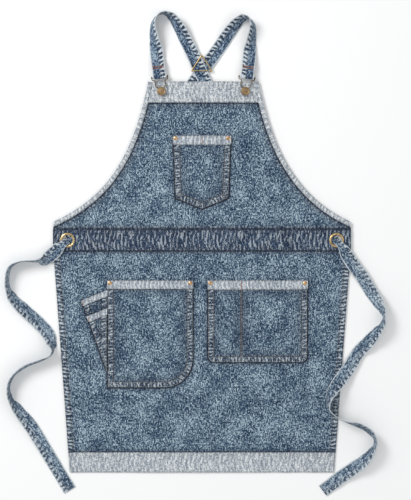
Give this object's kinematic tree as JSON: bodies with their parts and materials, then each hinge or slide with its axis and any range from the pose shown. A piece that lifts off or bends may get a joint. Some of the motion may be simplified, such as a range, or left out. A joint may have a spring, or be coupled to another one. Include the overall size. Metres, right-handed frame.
{
  "type": "artist smock apron",
  "caption": "Cross-back denim work apron with bib, waistband, patch and tool pockets, hooked shoulder straps and free waist ties, lying flat.",
  "frame": {"origin": "middle of the apron's outline on the surface it lies on, ties left out", "axes": "+X to the right as seen from the front, +Y towards the shoulder straps, +Z out of the apron's front"},
  "size_m": [0.8505, 1.0866, 0.0334],
  "materials": {
    "denim": "acid-washed blue twill, pale mottling",
    "pale_denim": "reverse side of the same twill, pale grey",
    "strap_denim": "folded and top-stitched washed twill",
    "brass": "polished, slightly worn",
    "antique_brass": "antique, brushed dark",
    "copper": "copper plated, dulled",
    "bronze_wire": "dark bronze plated wire"
  },
  "bodies": {
    "root": {"armhole_binding_left": "pale_denim", "armhole_binding_right": "pale_denim", "back_strap_left": "strap_denim", "back_strap_right": "strap_denim", "bib_panel": "denim", "bib_pocket": "denim", "bib_pocket_band": "pale_denim", "bib_pocket_left_burr": "copper", "bib_pocket_left_rivet": "copper", "bib_pocket_right_burr": "copper", "bib_pocket_right_rivet": "copper", "bib_top_band": "pale_denim", "bottom_hem_band": "pale_denim", "button_tack_left": "antique_brass", "button_tack_right": "antique_brass", "eyelet_left": "brass", "eyelet_right": "brass", "eyelet_washer_left": "brass", "eyelet_washer_right": "brass", "left_pocket": "denim", "left_pocket_band": "pale_denim", "left_pocket_left_burr": "copper", "left_pocket_left_rivet": "copper", "left_pocket_right_burr": "copper", "left_pocket_right_rivet": "copper", "right_pocket": "denim", "right_pocket_band": "pale_denim", "right_pocket_left_burr": "copper", "right_pocket_left_rivet": "copper", "right_pocket_right_burr": "copper", "right_pocket_right_rivet": "copper", "shoulder_strap_left": "strap_denim", "shoulder_strap_right": "strap_denim", "skirt_panel": "denim", "tie_left": "strap_denim", "tie_right": "strap_denim", "tool_pocket_lower": "denim", "tool_pocket_lower_band": "pale_denim", "tool_pocket_upper": "denim", "tool_pocket_upper_band": "pale_denim", "waistband": "denim"},
    "hook_left": {"hook_left": "bronze_wire", "hook_bar_left": "bronze_wire"},
    "hook_right": {"hook_right": "bronze_wire", "hook_bar_right": "bronze_wire"},
    "strap_end_left": {"strap_end_left": "strap_denim"},
    "strap_end_right": {"strap_end_right": "strap_denim"},
    "button_left": {"button_left": "antique_brass"},
    "button_right": {"button_right": "antique_brass"},
    "crossing_ring": {"crossing_ring": "brass"}
  },
  "joints": [
    {"name": "hook_left_slide", "type": "slide", "parent": "root", "child": "hook_left", "axis": [0.1219, -0.9925, 0], "range_m": [0, 0.0175]},
    {"name": "strap_end_left_tilt", "type": "hinge", "parent": "hook_left", "child": "strap_end_left", "pos_m": [-0.09484, 0.37107, 0.0107], "axis": [0.9925, 0.1219, 0], "range_deg": [0, 60]},
    {"name": "button_left_spin", "type": "hinge", "parent": "root", "child": "button_left", "pos_m": [-0.091, 0.3398, 0.0135], "axis": [0, 0, 1], "continuous": true},
    {"name": "hook_right_slide", "type": "slide", "parent": "root", "child": "hook_right", "axis": [-0.1219, -0.9925, 0], "range_m": [0, 0.0175]},
    {"name": "strap_end_right_tilt", "type": "hinge", "parent": "hook_right", "child": "strap_end_right", "pos_m": [0.10084, 0.37107, 0.0107], "axis": [0.9925, -0.1219, 0], "range_deg": [0, 60]},
    {"name": "button_right_spin", "type": "hinge", "parent": "root", "child": "button_right", "pos_m": [0.097, 0.3398, 0.0135], "axis": [0, 0, 1], "continuous": true},
    {"name": "crossing_ring_slide", "type": "slide", "parent": "root", "child": "crossing_ring", "axis": [0, 1, 0], "range_m": [-0.003, 0.003]}
  ]
}
